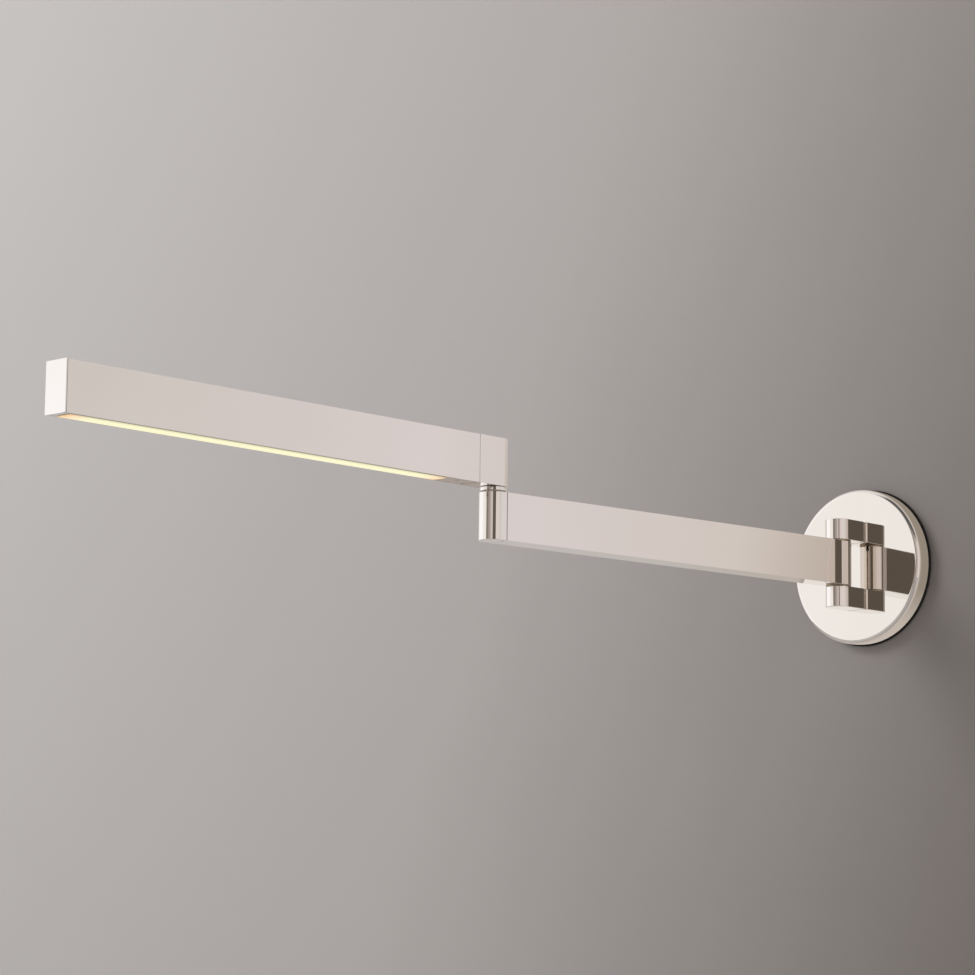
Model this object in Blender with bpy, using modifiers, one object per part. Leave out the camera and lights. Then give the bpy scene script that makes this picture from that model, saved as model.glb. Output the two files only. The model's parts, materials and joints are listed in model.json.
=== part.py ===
"""Swing arm wall sconce: a round wall plate, a hinged arm and a pivoting bar light.

Metres, +Z up. The wall is the plane Y = 0, the lamp stands out along -Y, and the origin is
the centre of the wall plate's back. The arm turns about a vertical hinge in front of the
plate, and the bar light turns about a vertical stem on top of the arm's outer end.
"""
import math

import bmesh
import bpy
from mathutils import Vector

MM = 0.001
GAP = 0.3 * MM            # between pieces that touch

# Wall plate
PLATE_RADIUS = 63.5 * MM
PLATE_DEPTH = 16.0 * MM
PLATE_EDGE = 3.5 * MM
PLATE_FACE = 3.0 * MM
PLATE_RIM = 2.5 * MM
PLATE_INSIDE = -(PLATE_DEPTH - PLATE_FACE)
GASKET_THICKNESS = 1.0 * MM
GASKET_RADIUS = 64.4 * MM                     # it shows as a thin line around the plate
GASKET_WIDTH = 5.1 * MM
PLATE_BACK = GASKET_THICKNESS + GAP           # the plate's rim stands this far off the wall

# Mounting bar, ground screw and rim screw
STRAP_HALF = 11.0 * MM
STRAP_THICKNESS = 2.0 * MM
STRAP_END = 57.8 * MM
STRAP_TAB = 9.0 * MM                          # how far its bent tabs stand off the wall
BOX_SCREW_Z = 44.45 * MM                      # half of the 88.9 mm between a wall box's screws
SLOT_RADIUS = 2.5 * MM
SLOT_LENGTH = 12.0 * MM
RIM_SCREW_Y = -6.0 * MM
GROUND_SCREW_Z = -14.0 * MM

# Driver and terminal block, seated on the inside of the plate's face
DRIVER_X = -32.0 * MM
DRIVER_HALF = 14.0 * MM
DRIVER_BODY = 24.0 * MM
DRIVER_BACK = -3.2 * MM
DRIVER_SCREW_Z = 27.5 * MM
DRIVER_FLANGE = 31.0 * MM
FLANGE_THICKNESS = 2.0 * MM
TERMINAL_LEFT = 24.0 * MM
TERMINAL_RIGHT = 38.0 * MM
TERMINAL_HALF = 16.0 * MM
TERMINAL_BACK = -4.2 * MM
TERMINAL_WAY_Y = -8.4 * MM
TERMINAL_PITCH = 9.5 * MM

# The section that the arm, the bar light, the knuckles and the ears share
BAR_WIDTH = 21.0 * MM
BAR_HEIGHT = 36.0 * MM
BAR_EDGE = 0.6 * MM
HALF_WIDTH = BAR_WIDTH / 2
HALF_HEIGHT = BAR_HEIGHT / 2
TUBE_WALL = 2.0 * MM
SPIGOT_LENGTH = 22.0 * MM

# Wall hinge
HINGE_OFFSET = 22.5 * MM                      # hinge axis to the plate's face
HINGE_Y = -(PLATE_DEPTH + HINGE_OFFSET)
WASHER_THICKNESS = 0.5 * MM
WASHER_RADIUS = 10.1 * MM
EAR_BOTTOM = HALF_HEIGHT + WASHER_THICKNESS + 2 * GAP
EAR_HEIGHT = 16.8 * MM
EAR_TOP = EAR_BOTTOM + EAR_HEIGHT
EAR_SCREW_X = -5.5 * MM
EAR_DOWEL_X = 5.5 * MM
EAR_SCREW_Z = 24.0 * MM
EAR_DOWEL_END = -24.0 * MM
LEAD_HOLE_Z = 31.0 * MM
PIN_RADIUS = 4.0 * MM
PIN_BORE = 2.5 * MM
PIN_TOP = 27.0 * MM
PIN_BOTTOM = -32.0 * MM
BUSH_RADIUS = 5.5 * MM
BUSH_END = 15.4 * MM                          # the bore narrows to the pin beyond this

# Arm
ARM_YAW = math.radians(5.0)                   # the arm's rest angle from the wall's normal
ARM_LENGTH = 375.0 * MM                       # hinge axis to elbow axis
WALL_SEAM = 6.8 * MM                          # hinge axis to the tube's near end
ELBOW_SEAM = 5.0 * MM                         # elbow axis to the tube's far end

# Elbow
STACK = 4.1 * MM                              # arm top to bar light underside
COLLAR_RADIUS = 9.85 * MM
COLLAR_HEIGHT = 2.8 * MM
THIN_WASHER = 0.4 * MM
THIN_WASHER_RADIUS = 9.4 * MM
CHAMBER_RADIUS = 8.0 * MM
CHAMBER_TOP = -4.0 * MM
COVER_THICKNESS = 1.6 * MM
STEM_BOTTOM = -11.5 * MM
STEM_TOP = 36.0 * MM

# Bar light, whose underside is at HEAD_Z
HEAD_Z = HALF_HEIGHT + STACK
HEAD_LENGTH = 415.0 * MM                      # elbow axis to the end cap's face
BLOCK_STRAIGHT = 25.0 * MM
HOUSING_WALL = 1.8 * MM
HOUSING_INSIDE = HALF_WIDTH - HOUSING_WALL
SLOT_HALF = 7.45 * MM
CAP_THICKNESS = 1.0 * MM
LENS_START = 57.0 * MM
LENS_END = 407.2 * MM
LENS_PROUD = 0.6 * MM
FLANGE_TOP = 3.3 * MM

COVER_SCREWS = (("cover_screw_front", 3.0 * MM, -41.0 * MM),
                ("cover_screw_rear", -3.0 * MM, -29.5 * MM))
CARRIER_BOTTOM = 14.0 * MM
CARRIER_TOP = 20.0 * MM
CARRIER_MIDDLE = HEAD_Z + (CARRIER_BOTTOM + CARRIER_TOP) / 2
CARRIER_START = 62.0 * MM
CARRIER_END = 402.0 * MM
CARRIER_SCREWS = (("inner", -110.0 * MM), ("outer", -350.0 * MM))
BOARD_THICKNESS = 1.2 * MM
BOARD_HALF = 6.0 * MM
STRIP_THICKNESS = 0.8 * MM
STRIP_HALF = 4.0 * MM

# Screws, dowels and leads
SCREW_RADIUS = 2.0 * MM                       # M4
SMALL_SCREW = 1.25 * MM                       # M2.5
DOWEL_RADIUS = 1.5 * MM
SIDE_SCREW_FACE = -HALF_WIDTH + 0.2 * MM      # side screws sit just under the wall side's face
SIDE_SCREW_END = -2.8 * MM
KNUCKLE_SCREW_Y = 16.0 * MM                   # from a joint's axis, along the arm
KNUCKLE_SCREW_Z = 9.0 * MM
STEM_SCREW_Z = 29.0 * MM
HEAD_SCREW_Z = 47.0 * MM
HOUSING_SCREW_Y = -35.0 * MM
CAP_SCREW_Y = -408.0 * MM
LEAD_RADIUS = 1.6 * MM
LEAD_BORE = 2.5 * MM

ROUND_STEPS = 48
PLATE_STEPS = 64
CHAMBER_STEPS = 36
CROWN_STEPS = 8
SMALL_STEPS = 24


# ---------------------------------------------------------------- scene and materials

def clear_scene():
    for obj in list(bpy.data.objects):
        bpy.data.objects.remove(obj, do_unlink=True)


def make_collection(name):
    group = bpy.data.collections.new(name)
    bpy.context.scene.collection.children.link(group)
    return group


def make_material(name, colour, metallic, roughness):
    material = bpy.data.materials.new(name)
    material.use_nodes = True
    shader = material.node_tree.nodes["Principled BSDF"]
    shader.inputs["Base Color"].default_value = (*colour, 1.0)
    shader.inputs["Metallic"].default_value = metallic
    shader.inputs["Roughness"].default_value = roughness
    return material


def make_frame(name, location, yaw=0.0, parent=None):
    """An empty that stands on a joint's axis; its pieces are its children."""
    frame = bpy.data.objects.new(name, None)
    frame.location = location
    frame.rotation_euler = (0.0, 0.0, yaw)
    frame.parent = parent
    PARTS.objects.link(frame)
    return frame


clear_scene()
PARTS = make_collection("swing_arm_wall_sconce")
CUTTERS = make_collection("cutters")

NICKEL = make_material("polished_nickel", (0.80, 0.75, 0.70), 1.0, 0.06)
STEEL = make_material("zinc_steel", (0.55, 0.56, 0.57), 1.0, 0.35)
BRONZE = make_material("bronze", (0.52, 0.34, 0.16), 1.0, 0.35)
NYLON = make_material("nylon", (0.05, 0.05, 0.05), 0.0, 0.45)
PALE_NYLON = make_material("pale_nylon", (0.80, 0.77, 0.70), 0.0, 0.4)
FOAM = make_material("foam", (0.03, 0.03, 0.03), 0.0, 0.9)
GREEN = make_material("green_screw", (0.06, 0.32, 0.12), 0.6, 0.35)
DRIVER_CASE = make_material("driver_case", (0.82, 0.82, 0.80), 0.0, 0.4)
CABLE = make_material("cable", (0.04, 0.04, 0.045), 0.0, 0.5)
ALUMINIUM = make_material("aluminium", (0.70, 0.71, 0.72), 1.0, 0.4)
BOARD = make_material("led_board", (0.88, 0.88, 0.85), 0.0, 0.45)
PHOSPHOR = make_material("phosphor", (0.95, 0.78, 0.25), 0.0, 0.5)
LENS = make_material("lens", (0.97, 0.93, 0.80), 0.0, 0.35)


# ---------------------------------------------------------------- modelling helpers

def place(obj, material, frame, location=(0, 0, 0), rotation=(0, 0, 0)):
    """Gives a piece its material, its frame and its place in that frame."""
    obj.location = location
    obj.rotation_euler = rotation
    obj.parent = frame
    if material is not None:
        obj.data.materials.clear()
        obj.data.materials.append(material)
    PARTS.objects.link(obj)
    return obj


def shade_round(obj):
    obj.data.shade_smooth()
    obj.data.set_sharp_from_angle(angle=math.radians(30))


def box_mesh(name, low, high):
    mesh = bpy.data.meshes.new(name)
    shape = bmesh.new()
    bmesh.ops.create_cube(shape, size=1.0)
    low, high = Vector(low), Vector(high)
    for vert in shape.verts:
        vert.co = Vector([low[i] + (vert.co[i] + 0.5) * (high[i] - low[i]) for i in range(3)])
    shape.to_mesh(mesh)
    shape.free()
    return mesh


def box(name, low, high, material, frame):
    return place(bpy.data.objects.new(name, box_mesh(name, low, high)), material, frame)


AXIS_TURN = {"X": (0, math.pi / 2, 0), "Y": (math.pi / 2, 0, 0), "Z": (0, 0, 0)}


def rod_mesh(name, radius, length, steps=SMALL_STEPS):
    mesh = bpy.data.meshes.new(name)
    shape = bmesh.new()
    bmesh.ops.create_cone(shape, cap_ends=True, segments=steps, radius1=radius,
                          radius2=radius, depth=length)
    shape.to_mesh(mesh)
    shape.free()
    return mesh


def rod(name, radius, start, end, axis, centre, material, frame, steps=SMALL_STEPS):
    """A round bar along one axis of its frame, from start to end, through centre."""
    middle = Vector(centre)
    middle["XYZ".index(axis)] = (start + end) / 2
    obj = bpy.data.objects.new(name, rod_mesh(name, radius, abs(end - start), steps))
    place(obj, material, frame, middle, AXIS_TURN[axis])
    shade_round(obj)
    return obj


def hide_cutter(cutter):
    PARTS.objects.unlink(cutter)
    CUTTERS.objects.link(cutter)
    cutter.hide_render = True
    cutter.display_type = "WIRE"


def combine(obj, tool, operation="DIFFERENCE"):
    modifier = obj.modifiers.new(tool.name, "BOOLEAN")
    modifier.operation = operation
    modifier.solver = "EXACT"
    modifier.object = tool
    hide_cutter(tool)


def drill(obj, label, radius, start, end, axis, centre, frame, steps=SMALL_STEPS):
    cutter = rod(obj.name + "_" + label, radius, start, end, axis, centre, None, frame, steps)
    combine(obj, cutter)


def add_box(obj, label, low, high, frame):
    combine(obj, box(obj.name + "_" + label, low, high, None, frame), "UNION")


def arc(centre, radius, start_deg, end_deg, steps):
    """Points of an arc in a plane, both ends included."""
    points = []
    for i in range(steps + 1):
        angle = math.radians(start_deg + (end_deg - start_deg) * i / steps)
        points.append((centre[0] + radius * math.cos(angle), centre[1] + radius * math.sin(angle)))
    return points


def prism_mesh(name, outlines, length):
    """Extrudes closed 2D outlines by length, from local Z = 0; inner outlines are holes."""
    curve = bpy.data.curves.new(name, "CURVE")
    curve.dimensions = "2D"
    curve.fill_mode = "BOTH"
    curve.extrude = length / 2
    for outline in outlines:
        spline = curve.splines.new("POLY")
        spline.points.add(len(outline) - 1)
        for point, (x, y) in zip(spline.points, outline):
            point.co = (x, y, 0.0, 1.0)
        spline.use_cyclic_u = True
    holder = bpy.data.objects.new(name + "_outline", curve)
    PARTS.objects.link(holder)
    bpy.context.view_layer.update()
    evaluated = holder.evaluated_get(bpy.context.evaluated_depsgraph_get())
    mesh = bpy.data.meshes.new_from_object(evaluated)
    bpy.data.objects.remove(holder, do_unlink=True)
    shape = bmesh.new()
    shape.from_mesh(mesh)
    bmesh.ops.remove_doubles(shape, verts=shape.verts, dist=1e-6)
    bmesh.ops.translate(shape, verts=shape.verts, vec=(0, 0, length / 2))
    bmesh.ops.recalc_face_normals(shape, faces=shape.faces)
    shape.to_mesh(mesh)
    shape.free()
    mesh.name = name
    return mesh


def prism(name, outlines, length, material, frame, location=(0, 0, 0), rotation=(0, 0, 0)):
    obj = bpy.data.objects.new(name, prism_mesh(name, outlines, length))
    return place(obj, material, frame, location, rotation)


def turned(name, profile, material, frame, location=(0, 0, 0), rotation=(0, 0, 0),
           steps=ROUND_STEPS, closed=False):
    """Turns an (radius, height) profile, listed down its outer side, about local Z."""
    mesh = bpy.data.meshes.new(name)
    count = len(profile)
    edges = [(i, i + 1) for i in range(count - 1)]
    if closed:
        edges.append((count - 1, 0))
    mesh.from_pydata([(x, 0.0, z) for x, z in profile], edges, [])
    obj = place(bpy.data.objects.new(name, mesh), material, frame, location, rotation)
    screw = obj.modifiers.new("turn", "SCREW")
    screw.steps = steps
    screw.render_steps = steps
    screw.use_merge_vertices = True
    screw.merge_threshold = 1e-6
    screw.use_smooth_shade = True
    screw.use_normal_calculate = False
    return obj


def ring(name, inner, outer, bottom, top, material, frame, location=(0, 0, 0), steps=ROUND_STEPS):
    profile = [(outer, top), (outer, bottom), (inner, bottom), (inner, top)]
    return turned(name, profile, material, frame, location, steps=steps, closed=True)


def soften(obj, width, keep):
    """Rounds the edges that keep(a, b) chooses, where a and b are an edge's ends."""
    shape = bmesh.new()
    shape.from_mesh(obj.data)
    chosen = [edge for edge in shape.edges
              if edge.calc_face_angle(0.0) > math.radians(40)
              and keep(edge.verts[0].co, edge.verts[1].co)]
    bmesh.ops.bevel(shape, geom=chosen, offset=width, segments=2, profile=0.5, affect="EDGES",
                    clamp_overlap=True)
    shape.to_mesh(obj.data)
    shape.free()


def bend_points(route, per_leg):
    """Points of a smooth Catmull-Rom curve through the route's own points."""
    nodes = [Vector(p) for p in route]
    nodes = [2 * nodes[0] - nodes[1]] + nodes + [2 * nodes[-1] - nodes[-2]]
    points = []
    for i in range(1, len(nodes) - 2):
        p0, p1, p2, p3 = nodes[i - 1:i + 3]
        for step in range(per_leg):
            t = step / per_leg
            points.append(0.5 * (2 * p1 + (p2 - p0) * t + (2 * p0 - 5 * p1 + 4 * p2 - p3) * t ** 2
                                 + (3 * p1 - p0 - 3 * p2 + p3) * t ** 3))
    points.append(nodes[-2])
    return points


def lead(name, route, frame, per_leg=3):
    """An insulated lead along a route given in its frame."""
    curve = bpy.data.curves.new(name, "CURVE")
    curve.dimensions = "3D"
    curve.bevel_depth = LEAD_RADIUS
    curve.bevel_resolution = 2
    curve.use_fill_caps = True
    points = bend_points(route, per_leg)
    spline = curve.splines.new("POLY")
    spline.points.add(len(points) - 1)
    for point, place_at in zip(spline.points, points):
        point.co = (*place_at, 1.0)
    return place(bpy.data.objects.new(name, curve), CABLE, frame)


def half_round(radius, straight, toward, steps=ROUND_STEPS // 2):
    """Plan outline: a half-round end towards +Y (1) or -Y (-1), and straight sides behind it."""
    nose = arc((0.0, 0.0), radius, 0.0, 180.0, steps)
    outline = nose + [(-radius, -straight), (radius, -straight)]
    return [(x, toward * y) for x, y in outline]


def rounded_rectangle(half_x, low_y, high_y, radius, steps=3):
    corners = [((half_x - radius, high_y - radius), 0.0), ((-half_x + radius, high_y - radius), 90.0),
               ((-half_x + radius, low_y + radius), 180.0), ((half_x - radius, low_y + radius), 270.0)]
    outline = []
    for centre, start in corners:
        outline += arc(centre, radius, start, start + 90.0, steps)
    return outline


def cap_screw(name, shank, length, head, head_height, seat, x, z, frame, material):
    """A socket screw along -Y whose head rests on the plane y = seat."""
    profile = [(0.0, head_height), (head, head_height), (head, 0.0), (shank, 0.0),
               (shank, -length), (0.0, -length)]
    return turned(name, profile, material, frame, (x, seat, z), (-math.pi / 2, 0, 0), SMALL_STEPS)


# ---------------------------------------------------------------- wall side

def make_backplate(frame):
    face = PLATE_RADIUS - PLATE_EDGE
    edge = arc((face, PLATE_DEPTH - PLATE_EDGE), PLATE_EDGE, 90.0, 0.0, 4)
    inner = PLATE_RADIUS - PLATE_RIM
    profile = [(0.0, PLATE_DEPTH)] + edge + [(PLATE_RADIUS, PLATE_BACK), (inner, PLATE_BACK),
                                             (inner, -PLATE_INSIDE), (0.0, -PLATE_INSIDE)]
    plate = turned("backplate", profile, NICKEL, frame, rotation=AXIS_TURN["Y"], steps=PLATE_STEPS)
    through = (PLATE_INSIDE + MM, -PLATE_DEPTH - MM)
    for side, label in ((1, "upper"), (-1, "lower")):
        drill(plate, "screw_" + label, SCREW_RADIUS + GAP, *through, "Y",
              (EAR_SCREW_X, 0, side * EAR_SCREW_Z), frame)
        drill(plate, "dowel_" + label, DOWEL_RADIUS + GAP, *through, "Y",
              (EAR_DOWEL_X, 0, side * EAR_SCREW_Z), frame)
        drill(plate, "driver_" + label, SMALL_SCREW + GAP, PLATE_INSIDE + MM,
              PLATE_INSIDE - 1.6 * MM, "Y", (DRIVER_X, 0, side * DRIVER_SCREW_Z), frame)
    drill(plate, "lead", LEAD_BORE, *through, "Y", (0, 0, LEAD_HOLE_Z), frame)
    drill(plate, "rim_screw", SCREW_RADIUS + GAP, PLATE_RADIUS - 5 * MM, PLATE_RADIUS + MM, "Z",
          (0, RIM_SCREW_Y, 0), frame)


def make_mounting_bar(frame):
    bar = box("mounting_bar", (-STRAP_HALF, -STRAP_THICKNESS, -STRAP_END),
              (STRAP_HALF, 0, STRAP_END), STEEL, frame)
    reach = SLOT_LENGTH / 2 - SLOT_RADIUS
    slot = arc((0.0, reach), SLOT_RADIUS, 0.0, 180.0, 12)
    slot += arc((0.0, -reach), SLOT_RADIUS, 180.0, 360.0, 12)
    for side, label in ((1, "upper"), (-1, "lower")):
        ends = sorted((side * (STRAP_END - STRAP_THICKNESS), side * STRAP_END))
        add_box(bar, "tab_" + label, (-STRAP_HALF, -STRAP_TAB, ends[0]),
                (STRAP_HALF, -MM, ends[1]), frame)
        combine(bar, prism("slot_" + label, [slot], 3 * STRAP_THICKNESS, None, frame,
                           (0, STRAP_THICKNESS, side * BOX_SCREW_Z), AXIS_TURN["Y"]))
    drill(bar, "rim_screw", SCREW_RADIUS + GAP, STRAP_END - 4 * MM, STRAP_END + 2 * MM, "Z",
          (0, RIM_SCREW_Y, 0), frame)
    drill(bar, "ground", SCREW_RADIUS + GAP, -4 * MM, 2 * MM, "Y", (0, 0, GROUND_SCREW_Z), frame)


def make_ear(label, side, frame):
    """A block with a half-round nose that holds one end of the hinge pin."""
    low, high = sorted((side * EAR_BOTTOM, side * EAR_TOP))
    back = HINGE_OFFSET - GAP
    ear = prism("ear_" + label, [half_round(HALF_WIDTH, back, -1)], high - low, NICKEL, frame,
                (0, HINGE_Y, low))
    soften(ear, BAR_EDGE, lambda a, b: abs(a.z - b.z) < 1e-6 and min(a.y, b.y) < back - 1e-5)
    bore_end = side * (EAR_TOP - 1.8 * MM)
    drill(ear, "pin", PIN_RADIUS + GAP, side * (EAR_BOTTOM - MM), bore_end, "Z", (0, HINGE_Y, 0),
          frame)
    back_face = -PLATE_DEPTH + MM
    drill(ear, "screw", SCREW_RADIUS + GAP, back_face, -30.4 * MM, "Y",
          (EAR_SCREW_X, 0, side * EAR_SCREW_Z), frame)
    drill(ear, "dowel", DOWEL_RADIUS + GAP, back_face, EAR_DOWEL_END - 0.4 * MM, "Y",
          (EAR_DOWEL_X, 0, side * EAR_SCREW_Z), frame)
    if side > 0:
        drill(ear, "lead", LEAD_BORE, back_face, HINGE_Y, "Y", (0, 0, LEAD_HOLE_Z), frame)


def make_ear_fixings(label, side, frame):
    cap_screw("ear_screw_" + label, SCREW_RADIUS, 17.0 * MM, 3.5 * MM, 4.0 * MM,
              PLATE_INSIDE + GAP, EAR_SCREW_X, side * EAR_SCREW_Z, frame, STEEL)
    rod("ear_dowel_" + label, DOWEL_RADIUS, PLATE_INSIDE - 0.5 * MM, EAR_DOWEL_END, "Y",
        (EAR_DOWEL_X, 0, side * EAR_SCREW_Z), STEEL, frame)


def make_hinge(frame):
    at_axis = (0, HINGE_Y, 0)
    pin = ring("hinge_pin", PIN_BORE, PIN_RADIUS, PIN_BOTTOM, PIN_TOP, STEEL, frame, at_axis,
               SMALL_STEPS)
    reach = PIN_RADIUS + MM
    combine(pin, box("hinge_pin_window", (-reach, HINGE_Y - reach, -PIN_RADIUS),
                     (reach, HINGE_Y - 0.8 * MM, PIN_RADIUS), None, frame))
    for side, label in ((1, "upper"), (-1, "lower")):
        ends = sorted((side * (HALF_HEIGHT + GAP), side * (HALF_HEIGHT + GAP + WASHER_THICKNESS)))
        ring("hinge_washer_" + label, PIN_RADIUS + GAP, WASHER_RADIUS, *ends, BRONZE, frame, at_axis)


def make_driver(frame):
    """The constant-current supply, with a screw flange at each end, behind the plate's face."""
    seat = PLATE_INSIDE + GAP
    left, right = DRIVER_X - DRIVER_HALF, DRIVER_X + DRIVER_HALF
    case = box("led_driver", (left, seat, -DRIVER_FLANGE),
               (right, seat + FLANGE_THICKNESS, DRIVER_FLANGE), DRIVER_CASE, frame)
    add_box(case, "body", (left, seat + MM, -DRIVER_BODY), (right, DRIVER_BACK, DRIVER_BODY), frame)
    for side, label in ((1, "upper"), (-1, "lower")):
        drill(case, "hole_" + label, SMALL_SCREW + GAP, seat - MM, seat + 4 * MM, "Y",
              (DRIVER_X, 0, side * DRIVER_SCREW_Z), frame)
        cap_screw("driver_screw_" + label, SMALL_SCREW, 3.6 * MM, 2.5 * MM, 1.8 * MM,
                  seat + FLANGE_THICKNESS + GAP, DRIVER_X, side * DRIVER_SCREW_Z, frame, STEEL)
    block = box("terminal_block", (TERMINAL_LEFT, seat, -TERMINAL_HALF),
                (TERMINAL_RIGHT, TERMINAL_BACK, TERMINAL_HALF), NYLON, frame)
    for way in (-1, 0, 1):
        drill(block, "way_%d" % way, 1.8 * MM, TERMINAL_LEFT + 6 * MM, TERMINAL_RIGHT + MM, "X",
              (0, TERMINAL_WAY_Y, way * TERMINAL_PITCH), frame)


def make_wall_side():
    frame = make_frame("wall_frame", (0, 0, 0))
    make_backplate(frame)
    gasket = ring("wall_gasket", GASKET_RADIUS - GASKET_WIDTH, GASKET_RADIUS, 0.0, GASKET_THICKNESS,
                  FOAM, frame, steps=PLATE_STEPS)
    gasket.rotation_euler = AXIS_TURN["Y"]
    make_mounting_bar(frame)
    ground = cap_screw("ground_screw", SCREW_RADIUS, STRAP_THICKNESS, 3.8 * MM, 2.4 * MM,
                       -STRAP_THICKNESS - GAP, 0, GROUND_SCREW_Z, frame, GREEN)
    ground.rotation_euler = AXIS_TURN["Y"]
    rod("rim_screw", SCREW_RADIUS, STRAP_END - 2.4 * MM, PLATE_RADIUS - 0.4 * MM, "Z",
        (0, RIM_SCREW_Y, 0), STEEL, frame)
    for side, label in ((1, "upper"), (-1, "lower")):
        make_ear(label, side, frame)
        make_ear_fixings(label, side, frame)
    make_hinge(frame)
    make_driver(frame)
    way = TERMINAL_WAY_Y
    lead("input_lead", [(23.6 * MM, way, -TERMINAL_PITCH), (14 * MM, way, -11 * MM),
                        (0, way, -12 * MM), (-10 * MM, way, -11 * MM),
                        (-17.6 * MM, way + MM, -TERMINAL_PITCH)], frame)
    lead("hinge_lead", [(-17.6 * MM, -6.2 * MM, 12 * MM), (-15.4 * MM, -6.2 * MM, 12 * MM),
                        (-10 * MM, -5.4 * MM, 17 * MM), (-4.5 * MM, -5.4 * MM, 25.5 * MM),
                        (-0.8 * MM, -8.2 * MM, 30.4 * MM),
                        (0, -14 * MM, 31 * MM), (0, -24 * MM, 31 * MM), (0, -33 * MM, 30.9 * MM),
                        (0, -37.4 * MM, 29.2 * MM), (0, HINGE_Y, 25 * MM), (0, HINGE_Y, 14 * MM),
                        (0, HINGE_Y, 4 * MM)], frame)
    return frame


# ---------------------------------------------------------------- arm

def side_hole(obj, label, y, z, frame):
    """A hole for a side screw, from the wall side's face to just past the screw's end."""
    drill(obj, label, SCREW_RADIUS + GAP, -HALF_WIDTH - MM, SIDE_SCREW_END + 0.4 * MM, "X",
          (0, y, z), frame)


def side_screw(name, y, z, frame, end=SIDE_SCREW_END):
    rod(name, SCREW_RADIUS, SIDE_SCREW_FACE, end, "X", (0, y, z), STEEL, frame)


def make_knuckle(name, centre_y, toward, straight, frame):
    """A half-round end block at centre_y, and the spigot that the arm tube slides onto."""
    knuckle = prism(name, [half_round(HALF_WIDTH, straight, toward)], BAR_HEIGHT, NICKEL,
                    frame, (0, centre_y, -HALF_HEIGHT))
    seam = -toward * straight
    soften(knuckle, BAR_EDGE, lambda a, b: abs(a.z - b.z) < 1e-6
           and not (abs(a.y - seam) < 1e-6 and abs(b.y - seam) < 1e-6))
    half = HALF_WIDTH - TUBE_WALL - GAP
    height = HALF_HEIGHT - TUBE_WALL - GAP
    ends = sorted((centre_y + seam + toward * 3 * MM, centre_y + seam - toward * SPIGOT_LENGTH))
    add_box(knuckle, "spigot", (-half, ends[0], -height), (half, ends[1], height), frame)
    return knuckle


def make_wall_knuckle(frame):
    knuckle = make_knuckle("wall_knuckle", 0.0, 1, WALL_SEAM, frame)
    drill(knuckle, "bore", BUSH_RADIUS + GAP, -20 * MM, BUSH_END + GAP, "Z", (0, 0, 0), frame)
    drill(knuckle, "pin", PIN_RADIUS + GAP, 0.0, 20 * MM, "Z", (0, 0, 0), frame)
    drill(knuckle, "lead", 3.0 * MM, 0.0, -30 * MM, "Y", (0, 0, 0), frame)
    side_hole(knuckle, "screw", -KNUCKLE_SCREW_Y, KNUCKLE_SCREW_Z, frame)
    for side, label in ((1, "upper"), (-1, "lower")):
        ends = sorted((side * 4 * MM, side * BUSH_END))
        ring("hinge_bush_" + label, PIN_RADIUS + GAP, BUSH_RADIUS, *ends, BRONZE, frame,
             steps=SMALL_STEPS)


def make_elbow_knuckle(frame):
    at = -ARM_LENGTH
    knuckle = make_knuckle("elbow_knuckle", at, -1, ELBOW_SEAM, frame)
    drill(knuckle, "bore", BUSH_RADIUS + GAP, CHAMBER_TOP - MM, BUSH_END + GAP, "Z", (0, at, 0), frame)
    drill(knuckle, "stem", PIN_RADIUS + GAP, 0.0, 20 * MM, "Z", (0, at, 0), frame)
    drill(knuckle, "chamber", CHAMBER_RADIUS, -20 * MM, CHAMBER_TOP, "Z", (0, at, 0), frame,
          CHAMBER_STEPS)
    drill(knuckle, "lead", 2.3 * MM, at + 5 * MM, at + 30 * MM, "Y", (0, 0, -13.5 * MM), frame)
    side_hole(knuckle, "screw", at + KNUCKLE_SCREW_Y, KNUCKLE_SCREW_Z, frame)
    ring("elbow_bush_upper", PIN_RADIUS + GAP, BUSH_RADIUS, 7.4 * MM, BUSH_END, BRONZE,
         frame, (0, at, 0), SMALL_STEPS)
    ring("elbow_bush_lower", PIN_RADIUS + GAP, BUSH_RADIUS, CHAMBER_TOP + GAP, 5 * MM, BRONZE,
         frame, (0, at, 0), SMALL_STEPS)
    rod("elbow_cover", CHAMBER_RADIUS - GAP, -HALF_HEIGHT, -HALF_HEIGHT + COVER_THICKNESS, "Z",
        (0, at, 0), NICKEL, frame, CHAMBER_STEPS)


def make_arm_tube(frame):
    start = WALL_SEAM + GAP
    length = ARM_LENGTH - ELBOW_SEAM - GAP - start
    outer = rounded_rectangle(HALF_WIDTH, -HALF_HEIGHT, HALF_HEIGHT, BAR_EDGE)
    inner = rounded_rectangle(HALF_WIDTH - TUBE_WALL, -HALF_HEIGHT + TUBE_WALL,
                              HALF_HEIGHT - TUBE_WALL, 0.3 * MM, 1)
    tube = prism("arm_tube", [outer, inner], length, NICKEL, frame, (0, -start, 0), AXIS_TURN["Y"])
    drill(tube, "chamber", CHAMBER_RADIUS, -20 * MM, -15 * MM, "Z", (0, -ARM_LENGTH, 0), frame,
          CHAMBER_STEPS)
    for label, y in (("wall", -KNUCKLE_SCREW_Y), ("elbow", -ARM_LENGTH + KNUCKLE_SCREW_Y)):
        side_hole(tube, "screw_" + label, y, KNUCKLE_SCREW_Z, frame)
        side_screw("knuckle_screw_" + label, y, KNUCKLE_SCREW_Z, frame)


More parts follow.
